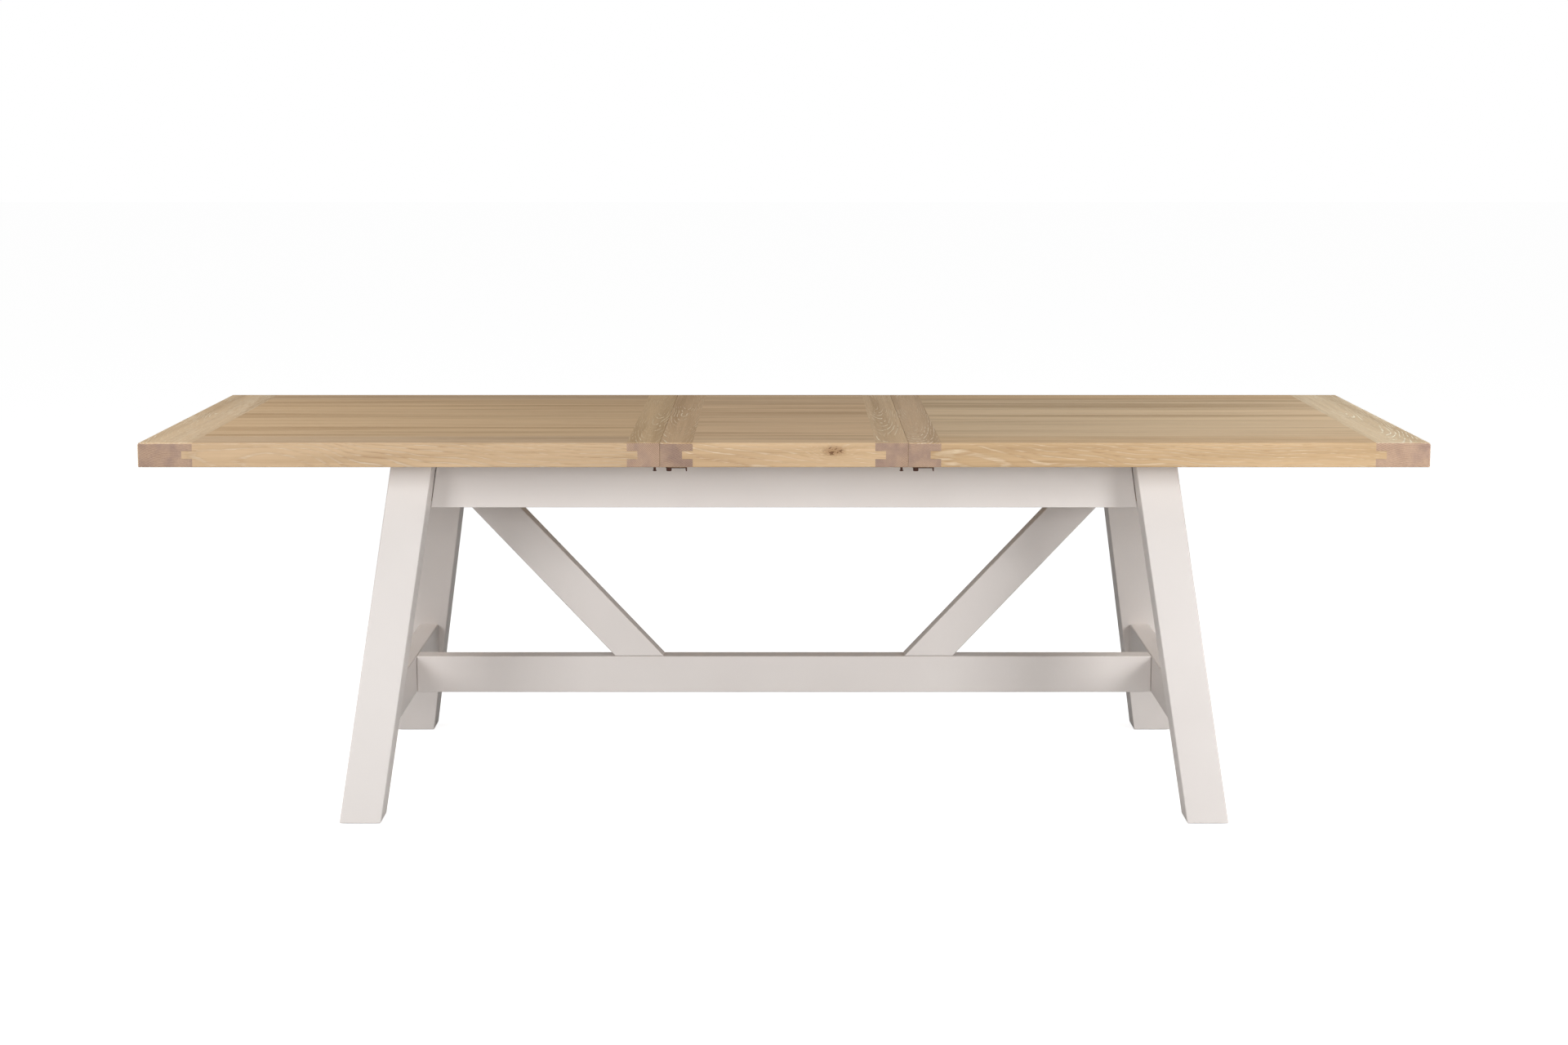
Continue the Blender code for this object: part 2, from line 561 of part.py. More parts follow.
def main():
    """Build every body and its pieces."""
    clear_scene()
    base = joint_empty("base", (0, 0, 0))
    tops = {
        "left": joint_empty("top_left", (-SEAM_X, 0, UNDERSIDE)),
        "right": joint_empty("top_right", (SEAM_X, 0, UNDERSIDE)),
    }
    leaf = joint_empty("leaf", (0, 0, UNDERSIDE))

    add_centre_stretcher(base)
    for side, sx in SIDES:
        add_end_frame(side, sx, base)
        add_brace(side, sx, base)
        add_bearer(side, sx, base)
        for face, sy in FACES:
            add_leg(side, sx, face, sy, base)
            add_corner_block(side, sx, face, sy, base)
    for face, sy in FACES:
        add_apron(face, sy, base)

    add_boards("top_left", -HALF_LENGTH, -SEAM_X, END_BOARD_WIDTH, SEAM_BOARD_WIDTH,
               HALF_LENGTH, tops["left"])
    add_boards("top_right", SEAM_X, HALF_LENGTH, SEAM_BOARD_WIDTH, END_BOARD_WIDTH,
               HALF_LENGTH, tops["right"])
    leaf_half = SEAM_X - BASE_CLEARANCE
    add_boards("leaf", -leaf_half, leaf_half, SEAM_BOARD_WIDTH, SEAM_BOARD_WIDTH, None, leaf)

    for side, sx in SIDES:
        for face, sy in FACES:
            add_runner(side, sx, face, sy, tops[side])
            hook_place = (sx * SEAM_X + CATCH_PIVOT, sy * CATCH_Y, UNDERSIDE - HOOK_TOP_DROP)
            bodies = {
                "holder": leaf if side == "left" else tops["right"],
                "keeper": tops["left"] if side == "left" else leaf,
                "hook": joint_empty(f"hook_{face}_{side}", hook_place),
            }
            add_catch(side, face, sy, sx * SEAM_X, bodies)


main()
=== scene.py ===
# Extending trestle dining table: a limed oak top on a painted base.
import math
import random
from functools import partial
import bmesh
import bpy
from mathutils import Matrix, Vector


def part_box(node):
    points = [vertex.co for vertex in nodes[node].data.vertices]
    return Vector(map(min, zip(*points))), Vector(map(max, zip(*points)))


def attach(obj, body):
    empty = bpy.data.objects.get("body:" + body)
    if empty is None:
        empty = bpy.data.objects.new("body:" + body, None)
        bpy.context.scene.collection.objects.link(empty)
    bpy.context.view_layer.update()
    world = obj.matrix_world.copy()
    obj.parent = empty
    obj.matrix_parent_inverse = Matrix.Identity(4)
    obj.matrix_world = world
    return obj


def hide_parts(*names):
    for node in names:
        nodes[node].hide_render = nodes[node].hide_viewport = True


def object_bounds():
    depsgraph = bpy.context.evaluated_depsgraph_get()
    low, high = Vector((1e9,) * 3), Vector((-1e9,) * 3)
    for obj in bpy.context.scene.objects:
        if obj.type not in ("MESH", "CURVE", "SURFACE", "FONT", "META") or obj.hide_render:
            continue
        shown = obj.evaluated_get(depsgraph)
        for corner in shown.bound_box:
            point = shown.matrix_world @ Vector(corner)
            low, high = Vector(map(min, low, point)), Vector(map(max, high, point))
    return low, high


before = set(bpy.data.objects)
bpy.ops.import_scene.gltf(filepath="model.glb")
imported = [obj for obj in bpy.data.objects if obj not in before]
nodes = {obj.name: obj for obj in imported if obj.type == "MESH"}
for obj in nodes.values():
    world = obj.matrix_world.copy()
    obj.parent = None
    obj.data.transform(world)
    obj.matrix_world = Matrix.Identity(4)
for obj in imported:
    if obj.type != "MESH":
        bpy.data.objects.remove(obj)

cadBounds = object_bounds()
print("frame loaded:", len(nodes), "nodes")


def hexColour(code):
    channels = [int(code[i:i + 2], 16) / 255 for i in (1, 3, 5)]
    linear = [c / 12.92 if c <= 0.04045 else ((c + 0.055) / 1.055) ** 2.4 for c in channels]
    return (*linear, 1.0)


def addNode(tree, kind, inputs=None, output=0, **settings):
    # an input given as another node's output is linked, anything else is set
    node = tree.nodes.new(kind)
    for name, value in settings.items():
        setattr(node, name, value)
    for name, value in (inputs or {}).items():
        if isinstance(value, bpy.types.NodeSocket):
            tree.links.new(value, node.inputs[name])
        else:
            node.inputs[name].default_value = value
    return node.outputs[output]


def startMaterial(name, roughness, ior=1.5, metallic=0.0):
    material = bpy.data.materials.new(name)
    material.use_nodes = True
    shader = material.node_tree.nodes["Principled BSDF"]
    shader.inputs["Roughness"].default_value = roughness
    shader.inputs["IOR"].default_value = ior
    shader.inputs["Metallic"].default_value = metallic
    return material, material.node_tree, shader


maths, vectorMaths = "ShaderNodeMath", "ShaderNodeVectorMath"
mapping, ramp, mix, noise = "ShaderNodeMapping", "ShaderNodeMapRange", "ShaderNodeMix", "ShaderNodeTexNoise"
smooth = {"interpolation_type": "SMOOTHSTEP"}
inColour = {"output": 2, "data_type": "RGBA"}          # a mix node's third output is its colour


def near(a, b, slack=1e-4):
    return abs(a - b) < slack


def addBlock(bm, outline, axis, low, high):
    # outline is (y, z) across X, (x, z) across Y, (x, y) across Z; gives back the block's faces
    place = {
        "X": lambda a, b: (low, a, b),
        "Y": lambda a, b: (a, low, b),
        "Z": lambda a, b: (a, b, low),
    }[axis]
    step = {"X": Vector((1, 0, 0)), "Y": Vector((0, 1, 0)), "Z": Vector((0, 0, 1))}[axis]
    base = bm.faces.new([bm.verts.new(place(a, b)) for a, b in outline])
    grown = bmesh.ops.extrude_face_region(bm, geom=[base])["geom"]
    moved = [item for item in grown if isinstance(item, bmesh.types.BMVert)]
    bmesh.ops.translate(bm, vec=step * (high - low), verts=moved)
    faces = list({face for vert in moved for face in vert.link_faces} | {base})
    bmesh.ops.recalc_face_normals(bm, faces=faces)
    return faces


def rectangle(low, high):
    return [(low[0], low[1]), (high[0], low[1]), (high[0], high[1]), (low[0], high[1])]


def weighEdges(bm, rule):
    # rule gives 0 to 1 for an edge's two end points; the live bevel multiplies it by its width
    weights = bm.edges.layers.float.new("bevel_weight_edge")
    for edge in bm.edges:
        edge[weights] = rule(edge.verts[0].co, edge.verts[1].co)


def finishPiece(name, bm, materials, body, replaced=(), rounding=None, sharpAngle=35):
    mesh = bpy.data.meshes.new(name)
    bm.to_mesh(mesh)
    bm.free()
    for material in materials:
        mesh.materials.append(material)
    mesh.shade_smooth()
    mesh.set_sharp_from_angle(angle=math.radians(sharpAngle))
    piece = bpy.data.objects.new(name, mesh)
    bpy.context.scene.collection.objects.link(piece)
    if rounding:
        bevel = piece.modifiers.new("arrises", "BEVEL")
        bevel.width = rounding["width"]
        bevel.segments = rounding["segments"]
        bevel.limit_method = rounding.get("limit", "WEIGHT")
        bevel.angle_limit = math.radians(35)
        bevel.harden_normals = True
        bevel.use_clamp_overlap = True
    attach(piece, body)
    if replaced:
        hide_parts(*replaced)
    return piece


oakLook = {
    "ground": "#D2B48E",       # latewood under matt lacquer
    "early": "#AE8B66",        # open-pored earlywood
    "streak": "#9F7E57",       # darker heartwood
    "lime": "#F1E2C6",         # white oil left in the pores
    "endGround": "#BB9D86",    # end grain drinks more finish
    "endEarly": "#80604C",
    "endBlotch": "#A0867A",
    "knot": "#A07C56",
    "knotDark": "#755338",
    "roughness": 0.55,
    "roughnessDrift": (-0.03, 0.05),
    "sheen": 0.25,
    "relief": 0.0005,
    "lateRise": 0.45,          # share of a year's growth at which the latewood is full
    "lateFall": 0.80,          # and from which it gives way again
    "unevenYears": 3.0,        # rings gained or lost across a board
    "limedEdge": (0.55, 0.95),
}
grainSizes = {                 # millimetres along and across the grain, and the noise's detail
    "wander": (500, 400, 2),
    "ripple": (90, 22, 2),
    "years": (2000, 110, 1),   # wet years and dry years
    "broad": (1200, 42, 2.5),
    "threads": (480, 11, 3),
    "patches": (300, 60, 2),
    "dashes": (60, 7, 1),      # where the brushing lifted the oil again
    "fibre": (190, 4.5, 4),    # real fibres are far finer, drawn as coarse as they show
    "pores": (26, 1.6, 1),     # real pores are 0.3 mm wide, drawn coarser so that they show
}


def ringRadius(add, figure, grain, board):
    # growth rings: the distance from a pith that wanders and rises along the board
    u, v, w = board.node.outputs                       # along, across and through the board
    wander = figure["wander"]
    drift = add("ShaderNodeSeparateXYZ", {0: grain["wander"].node.outputs["Color"]}).node.outputs
    aside = add(maths, {0: drift[0], 1: wander, 2: figure["side"] - wander / 2}, operation="MULTIPLY_ADD")
    below = add(maths, {0: drift[1], 1: wander, 2: figure["depth"] - wander / 2}, operation="MULTIPLY_ADD")
    rising = add(maths, {0: u, 1: figure["taper"], 2: w}, operation="MULTIPLY_ADD")
    across = add(maths, {0: v, 1: aside}, operation="ADD")
    through = add(maths, {0: rising, 1: below}, operation="ADD")
    toPith = add("ShaderNodeCombineXYZ", {0: across, 1: through})
    radius = add(vectorMaths, {0: toPith}, output="Value", operation="LENGTH")
    return add(maths, {0: grain["ripple"], 1: figure["ripple"], 2: radius}, operation="MULTIPLY_ADD")


def knotParts(add, knot, place):
    # a knot's pull on the rings, its brown halo and its dark cracks
    size = knot["size"]
    offset = add(vectorMaths, {0: place, 1: knot["at"]}, operation="SUBTRACT")
    oval = add(vectorMaths, {0: offset, 1: (1.0, 1.0, knot["squeeze"])}, operation="MULTIPLY")
    away = add(vectorMaths, {0: oval}, output="Value", operation="LENGTH")
    grit = add(noise, {"Vector": oval, "Scale": 1 / knot["grit"], "Detail": 2.0})
    pull = add(ramp, {0: away, 2: size * knot["reach"], 3: knot["bulge"], 4: 0.0}, **smooth)
    ragged = add(maths, {0: grit, 1: size * knot["ragged"], 2: away}, operation="MULTIPLY_ADD")
    inner, outer = (size * share for share in knot["halo"])
    halo = add(ramp, {0: ragged, 1: inner, 2: outer, 3: knot["haloShare"], 4: 0.0}, **smooth)
    inner, outer = (size * share for share in knot["heart"])
    heart = add(ramp, {0: away, 1: inner, 2: outer, 3: 1.0, 4: 0.0}, **smooth)
    cracks = add(ramp, {0: grit, 1: knot["cracks"][0], 2: knot["cracks"][1]}, **smooth)
    return pull, halo, add(maths, {0: heart, 1: cracks}, operation="MULTIPLY")


def limedOak(name, figure, axis="X", endGrain=False, knot=None):
    # brushed and limed oak: brushing opens the pores, white oil fills them, the lacquer is matt
    material, tree, shader = startMaterial(name, oakLook["roughness"])
    shader.inputs["Specular IOR Level"].default_value = oakLook["sheen"]
    add = partial(addNode, tree)
    place = add("ShaderNodeTexCoord", output="Object")
    centre = add("ShaderNodeAttribute", output="Vector", attribute_name="boardCentre")
    shift = add("ShaderNodeAttribute", output="Vector", attribute_name="boardShift")
    toneAndSheen = add("ShaderNodeAttribute", output="Vector", attribute_name="boardToneAndSheen")
    local = add(vectorMaths, {0: place, 1: centre}, operation="SUBTRACT")
    turn = -math.pi / 2 if axis == "Y" else 0.0
    along = add(mapping, {"Vector": local, "Rotation": (0.0, 0.0, turn)})
    grain = {}
    for key, (length, width, detail) in grainSizes.items():
        scale = (1000 / length, 1000 / width, 1000 / width)
        spot = add(mapping, {"Vector": along, "Location": shift, "Scale": scale})
        grain[key] = add(noise, {"Vector": spot, "Scale": 1.0, "Detail": detail, "Roughness": 0.55})

    radius = ringRadius(add, figure, grain, add("ShaderNodeSeparateXYZ", {0: along}))
    if knot:
        pull, halo, dark = knotParts(add, knot, place)
        radius = add(maths, {0: radius, 1: pull}, operation="ADD")
    rings = add(maths, {0: radius, 1: figure["ring"]}, operation="DIVIDE")
    rings = add(maths, {0: grain["years"], 1: oakLook["unevenYears"], 2: rings}, operation="MULTIPLY_ADD")
    band = add(maths, {0: rings}, operation="FRACT")
    rise = add(ramp, {0: band, 2: oakLook["lateRise"]}, **smooth)
    fall = add(ramp, {0: band, 1: oakLook["lateFall"], 3: 1.0, 4: 0.0}, **smooth)
    late = add(maths, {0: rise, 1: fall}, operation="MULTIPLY")
    early = add(maths, {0: 1.0, 1: late}, operation="SUBTRACT")

    spans = {                      # where each noise sets in and is full, and what it runs from and to
        "patches": (0.38, 0.62, figure["calm"], 1.0),
        "broad": (0.42, 0.70, 0.0, figure["streaks"]),
        "threads": (0.54, 0.76, 0.0, figure["threads"]),
        "dashes": (0.36, 0.56, 0.0, 1.0),
        "pores": (0.50, 0.66, 0.0, 1.0),
    }
    share = {}
    for key, span in spans.items():
        share[key] = add(ramp, {0: grain[key], **dict(enumerate(span, 1))}, **smooth)
    start, end = oakLook["limedEdge"]
    opened = add(ramp, {0: early, 1: start, 2: end, 4: figure["strokes"]}, **smooth)
    pores = add(maths, {0: share["pores"], 1: early}, operation="MULTIPLY")
    limed = add(maths, {0: pores, 1: figure["lime"]}, operation="MULTIPLY")
    ringed = add(maths, {0: early, 1: share["patches"]}, operation="MULTIPLY")
    ringed = add(maths, {0: ringed, 1: figure["contrast"]}, operation="MULTIPLY")
    strokes = add(maths, {0: opened, 1: share["dashes"]}, operation="MULTIPLY")
    strokes = add(maths, {0: strokes, 1: share["patches"]}, operation="MULTIPLY")

    shades = ("endGround", "endBlotch", "endEarly") if endGrain else ("ground", "streak", "early")
    layers = [(share["broad"], shades[1]), (ringed, shades[2]), (share["threads"], "streak"),
              (strokes, "lime"), (limed, "lime")]
    if knot:
        layers += [(halo, "knot"), (dark, "knotDark")]
    colour = add("ShaderNodeRGB")
    colour.default_value = hexColour(oakLook[shades[0]])
    for amount, over in layers:
        colour = add(mix, {0: amount, 6: colour, 7: hexColour(oakLook[over])}, **inColour)
    level = add(ramp, {0: grain["fibre"], 1: 0.25, 2: 0.75, 3: 0.93, 4: 1.07})
    # the fibre level and the board's tint multiply the colour; on the end boards and the right field that
    # tint paints sheen and light
    for factor in (level, toneAndSheen):
        colour = add(mix, {0: 1.0, 6: colour, 7: factor}, **inColour, blend_type="MULTIPLY")
    tree.links.new(colour, shader.inputs["Base Color"])
    smoother, rougher = (oakLook["roughness"] + drift for drift in oakLook["roughnessDrift"])
    roughness = add(ramp, {0: early, 3: smoother, 4: rougher})
    tree.links.new(roughness, shader.inputs["Roughness"])
    height = add(maths, {0: late, 1: 0.35, 2: grain["fibre"]}, operation="MULTIPLY_ADD")
    height = add(maths, {0: height, 1: pores}, operation="SUBTRACT")
    bump = add("ShaderNodeBump", {"Strength": 0.35, "Distance": oakLook["relief"], "Height": height})
    tree.links.new(bump, shader.inputs["Normal"])
    return material


# metres: ring spacing, how far the pith lies aside and below, its rise per metre and its drift;
# then how much of each colour shows
plankFigure = {
    "ring": 0.0060, "side": 0.24, "depth": 0.07, "taper": 0.05, "wander": 0.040, "ripple": 0.002,
    "calm": 0.3, "contrast": 0.32, "streaks": 0.60, "threads": 0.55, "strokes": 0.12, "lime": 0.25,
}
railFigure = {
    "ring": 0.0050, "side": 0.13, "depth": 0.05, "taper": 0.09, "wander": 0.060, "ripple": 0.003,
    "calm": 0.3, "contrast": 0.62, "streaks": 0.50, "threads": 0.45, "strokes": 0.34, "lime": 0.30,
}
crossFigure = {
    "ring": 0.0042, "side": 0.004, "depth": -0.048, "taper": 0.060, "wander": 0.030, "ripple": 0.0035,
    "calm": 0.1, "contrast": 0.50, "streaks": 0.50, "threads": 0.20, "strokes": 0.95, "lime": 0.35,
}
endFigure = {
    "ring": 0.0030, "side": 0.0, "depth": 0.0, "taper": 0.0, "wander": 0.012, "ripple": 0.002,
    "calm": 0.35, "contrast": 0.75, "streaks": 0.80, "threads": 0.0, "strokes": 0.0, "lime": 0.12,
}

oakPlank = limedOak("limedOakPlank", plankFigure)
oakRail = limedOak("limedOakRail", railFigure)
oakCross = limedOak("limedOakCross", crossFigure, axis="Y")
oakEnd = limedOak("limedOakEndGrain", endFigure, axis="Y", endGrain=True)


paintLook = {
    "colour": "#E3DDD9",
    "shadow": "#DBD4D0",
    "roughness": 0.42,
    "roughnessDrift": (-0.03, 0.05),
    "grain": (250, 5),             # millimetres along and across
    "clouds": 3.5,                 # paler and deeper patches in a metre
    "relief": 0.0003,
}


def satinPaint(name, turn):
    # sprayed satin lacquer on wood: even colour, a faint grain showing through as a ripple
    material, tree, shader = startMaterial(name, paintLook["roughness"], ior=1.48)
    add = partial(addNode, tree)
    place = add("ShaderNodeTexCoord", output="Object")
    length, width = paintLook["grain"]
    scale = (1000 / length, 1000 / width, 1000 / width)
    turned = add(mapping, {"Vector": place, "Rotation": turn})
    stretched = add(mapping, {"Vector": turned, "Scale": scale})
    fine = add(noise, {"Vector": stretched, "Scale": 1.0, "Detail": 4.0})
    cloud = add(noise, {"Vector": place, "Scale": paintLook["clouds"], "Detail": 2.0})
    amount = add(ramp, {0: cloud, 1: 0.35, 2: 0.70, 4: 0.55})
    light, dark = hexColour(paintLook["colour"]), hexColour(paintLook["shadow"])
    colour = add(mix, {0: amount, 6: light, 7: dark}, **inColour)
    tree.links.new(colour, shader.inputs["Base Color"])
    smoother, rougher = (paintLook["roughness"] + drift for drift in paintLook["roughnessDrift"])
    gloss = add(ramp, {0: fine, 1: 0.3, 2: 0.7, 3: smoother, 4: rougher})
    tree.links.new(gloss, shader.inputs["Roughness"])
    bump = add("ShaderNodeBump", {"Strength": 0.18, "Distance": paintLook["relief"], "Height": fine})
    tree.links.new(bump, shader.inputs["Normal"])
    return material


braceLean = 46.8                   # degrees from level
paintAlongX = satinPaint("satinPaintAlongX", (0.0, 0.0, 0.0))
paintAlongY = satinPaint("satinPaintAlongY", (0.0, 0.0, -math.pi / 2))
paintUpright = satinPaint("satinPaintUpright", (0.0, math.pi / 2, 0.0))
paintBrace = {"left": satinPaint("satinPaintBraceLeft", (0.0, -math.radians(braceLean), 0.0)),
              "right": satinPaint("satinPaintBraceRight", (0.0, math.radians(braceLean), 0.0))}


beechLook = {
    "colour": "#D6B48C",
    "band": "#BE9668",
    "fleck": "#9A724A",
    "roughness": 0.62,
    "relief": 0.0003,
    # waves in a metre along and across, and the noise's detail: 11 by 1.4 mm flecks, bands 17 mm apart
    "grain": {"flecks": (90.0, 700.0, 1.0), "bands": (1.5, 60.0, 3.0)},
}


def planedBeech(name, turn):
    # beech: even pinkish tan with short darker flecks, planed and unfinished
    material, tree, shader = startMaterial(name, beechLook["roughness"])
    add = partial(addNode, tree)
    place = add("ShaderNodeTexCoord", output="Object")
    turned = add(mapping, {"Vector": place, "Rotation": turn})
    found = {}
    for key, (along, across, detail) in beechLook["grain"].items():
        spot = add(mapping, {"Vector": turned, "Scale": (along, across, across)})
        found[key] = add(noise, {"Vector": spot, "Scale": 1.0, "Detail": detail})
    light, dark = hexColour(beechLook["colour"]), hexColour(beechLook["band"])
    colour = add(mix, {0: found["bands"], 6: light, 7: dark}, **inColour)
    mask = add(ramp, {0: found["flecks"], 1: 0.60, 2: 0.70, 4: 0.6})
    colour = add(mix, {0: mask, 6: colour, 7: hexColour(beechLook["fleck"])}, **inColour)
    tree.links.new(colour, shader.inputs["Base Color"])
    relief = {"Strength": 0.2, "Distance": beechLook["relief"], "Height": found["flecks"]}
    bump = add("ShaderNodeBump", relief)
    tree.links.new(bump, shader.inputs["Normal"])
    return material


steelLook = {"colour": "#4A3A34", "patch": "#6A4B42", "roughness": 0.40, "roughnessDrift": (-0.08, 0.08)}


def bronzedSteel(name):
    # pressed steel with a dark chemical bronze: brown-black, slightly uneven, half matt
    material, tree, shader = startMaterial(name, steelLook["roughness"], metallic=1.0)
    add = partial(addNode, tree)
    place = add("ShaderNodeTexCoord", output="Object")
    patches = add(noise, {"Vector": place, "Scale": 260.0, "Detail": 3.0})      # 4 mm patches
    light, dark = hexColour(steelLook["patch"]), hexColour(steelLook["colour"])
    colour = add(mix, {0: patches, 6: dark, 7: light}, **inColour)
    tree.links.new(colour, shader.inputs["Base Color"])
    smoother, rougher = (steelLook["roughness"] + drift for drift in steelLook["roughnessDrift"])
    gloss = add(ramp, {0: patches, 1: 0.3, 2: 0.7, 3: smoother, 4: rougher})
    tree.links.new(gloss, shader.inputs["Roughness"])
    bump = add("ShaderNodeBump", {"Strength": 0.15, "Distance": 0.0002, "Height": patches})
    tree.links.new(bump, shader.inputs["Normal"])
    return material


nylonLook = {"colour": "#D6D1C6", "shadow": "#C6C0B4", "roughness": 0.5}


def mouldedNylon(name):
    # moulded nylon: off-white, waxy, a very fine spark texture
    material, tree, shader = startMaterial(name, nylonLook["roughness"], ior=1.53)
    add = partial(addNode, tree)
    place = add("ShaderNodeTexCoord", output="Object")
    spark = add(noise, {"Vector": place, "Scale": 900.0, "Detail": 2.0})        # 1.1 mm grit
    light, dark = hexColour(nylonLook["colour"]), hexColour(nylonLook["shadow"])
    colour = add(mix, {0: spark, 6: light, 7: dark}, **inColour)
    tree.links.new(colour, shader.inputs["Base Color"])
    bump = add("ShaderNodeBump", {"Strength": 0.2, "Distance": 0.0002, "Height": spark})
    tree.links.new(bump, shader.inputs["Normal"])
    return material


beechAlongX = planedBeech("planedBeechAlongX", (0.0, 0.0, 0.0))
beechAlongY = planedBeech("planedBeechAlongY", (0.0, 0.0, -math.pi / 2))
darkSteel = bronzedSteel("bronzedSteel")
nylon = mouldedNylon("mouldedNylon")
print("materials made")


topLook = {
    "arris": 0.0055,          # rounded outer edges
    "underArris": 0.45,       # share of that along the underside
    "cornerArris": 0.8,       # share of that down the four corners
    "seamArris": 0.12,        # share of that beside the seams
    "segments": 5,
    "planks": 7,              # in each field
    "plankWidths": (0.85, 1.15),
    "pithDrift": (0.015, 0.1),     # how far a cross board's pattern lies off its middle, in x and y
    "plankTones": (0.99, 1.09),
    # field tones; the right field's paler, bluer tint also paints the sheen of the light falling on it
    "fieldTonesAndSheen": {
        "top_left": (0.98, 0.96, 0.93),
        "leaf": (0.99, 0.98, 0.99),
        "top_right": (1.02, 1.07, 1.13),
    },
    "railTints": {
        "top_left": (0.93, 0.93, 0.96),
        "leaf": (1.05, 1.05, 1.07),
        "top_right": (1.00, 0.99, 0.97),
    },
    # cross board tones; the paler, bluer tints of the two end boards are painted sheen and light falling
    # stronger on the table's ends, the other boards' tints are their own tone
    "crossTonesAndSheen": {
        "top_left_end_board": (1.03, 1.07, 1.13),
        "top_left_seam_board": (0.95, 0.93, 0.88),
        "leaf_left_board": (0.93, 0.89, 0.86),
        "leaf_right_board": (1.00, 1.00, 1.01),
        "top_right_seam_board": (0.94, 0.93, 0.96),
        "top_right_end_board": (1.09, 1.20, 1.33),
    },
}
endGrainLook = {              # tone, and where the pith lies from each board's middle in x and z
    "top_left_end_board": (0.93, 0.02, -0.14),
    "top_left_seam_board": (0.95, 0.07, 0.08),
    "leaf_left_board": (0.88, -0.03, -0.11),
    "leaf_right_board": (0.92, 0.08, 0.07),
    "top_right_seam_board": (0.92, -0.02, -0.06),
    "top_right_end_board": (1.05, 0.03, -0.15),
}
endX, halfDepth, tableTop = cadBounds[1]
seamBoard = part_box("top_right_seam_board")
underside = seamBoard[0].z
seamX = seamBoard[0].x
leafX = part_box("leaf_right_board")[1].x
layer = (tableTop - underside) / 3
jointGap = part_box("top_left_panel")[0].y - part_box("top_left_front_rail")[1].y
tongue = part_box("top_left_front_rail")[1].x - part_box("top_left_seam_board")[0].x
dice = random.Random(4)


def newBoardMesh():
    bm = bmesh.new()
    for name in ("boardCentre", "boardShift", "boardToneAndSheen"):
        bm.faces.layers.float_vector.new(name)
    return bm


def markBoard(bm, faces, centre, toneAndSheen):
    # each board carries its own grain: a centre, a place in the pattern and a tint, which on the end boards
    # and the right field also holds painted sheen
    layers = bm.faces.layers.float_vector
    shift = Vector((dice.uniform(0, 40), dice.uniform(0, 40), dice.uniform(0, 40)))
    for face in faces:
        face[layers["boardCentre"]] = centre
        face[layers["boardShift"]] = shift
        face[layers["boardToneAndSheen"]] = toneAndSheen


def topRounding(a, b):
    flatEdge = near(a.z, b.z) and (near(a.z, tableTop) or near(a.z, underside))
    share = topLook["underArris"] if near(a.z, underside) else 1.0
    atDepth = near(a.y, b.y) and near(abs(a.y), halfDepth)
    atEnd = near(a.x, b.x) and near(abs(a.x), endX)
    atSeam = near(a.x, b.x) and (near(abs(a.x), seamX) or near(abs(a.x), leafX))
    if flatEdge and (atDepth or atEnd):
        return share
    if atDepth and atEnd:
        return topLook["cornerArris"]
    if atSeam and (flatEdge or atDepth):
        return topLook["seamArris"]
    return 0.0


def makeCrossBoard(node, body):
    (x0, y0, z0), (x1, y1, z1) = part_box(node)
    grooveAtHigh = node in ("top_left_end_board", "top_right_seam_board", "leaf_left_board")
    outer, inner = (x0, x1) if grooveAtHigh else (x1, x0)
    floorX = inner + math.copysign(tongue, outer - inner)
    outline = [(outer, z0), (inner, z0), (inner, z0 + layer), (floorX, z0 + layer),
               (floorX, z1 - layer), (inner, z1 - layer), (inner, z1), (outer, z1)]
    bm = newBoardMesh()
    faces = addBlock(bm, outline, "Y", y0, y1)
    driftX, driftY = topLook["pithDrift"]
    offX, offY = dice.uniform(-driftX, driftX), dice.uniform(-driftY, driftY)
    middle = Vector(((x0 + x1) / 2 + offX, offY, (z0 + z1) / 2))
    endGrain = [face for face in faces if abs(face.normal.y) > 0.9]
    endTone, pithX, pithZ = endGrainLook[node]
    markBoard(bm, [face for face in faces if face not in endGrain], middle, topLook["crossTonesAndSheen"][node])
    markBoard(bm, endGrain, middle + Vector((pithX, 0.0, pithZ)), (endTone, endTone, endTone))
    for face in endGrain:
        face.material_index = 1
    weighEdges(bm, topRounding)
    finishPiece("oak_" + node, bm, [oakCross, oakEnd], body, [node], topRound)


def tonguedOutline(node):
    # the shoulders meet the cross boards; tongues in the middle third run on into them
    (x0, y0, z0), (x1, y1, z1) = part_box(node)
    left, right = x0 + tongue, x1 - tongue
    tongueLow, tongueHigh = underside + layer + jointGap, tableTop - layer - jointGap
    upper = [(x1, tongueHigh), (right, tongueHigh), (right, z1), (left, z1), (left, tongueHigh),
             (x0, tongueHigh), (x0, tongueLow)]
    if near(z0, underside):
        return [(left, z0), (right, z0), (right, tongueLow), (x1, tongueLow), *upper, (left, tongueLow)]
    return [(x1, tongueLow), *upper]


def makeRail(node, body, material):
    (x0, y0, z0), (x1, y1, z1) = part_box(node)
    bm = newBoardMesh()
    faces = addBlock(bm, tonguedOutline(node), "Y", y0, y1)
    markBoard(bm, faces, Vector(((x0 + x1) / 2, (y0 + y1) / 2, (z0 + z1) / 2)), topLook["railTints"][body])
    weighEdges(bm, topRounding)
    finishPiece("oak_" + node, bm, [material], body, [node], topRound)


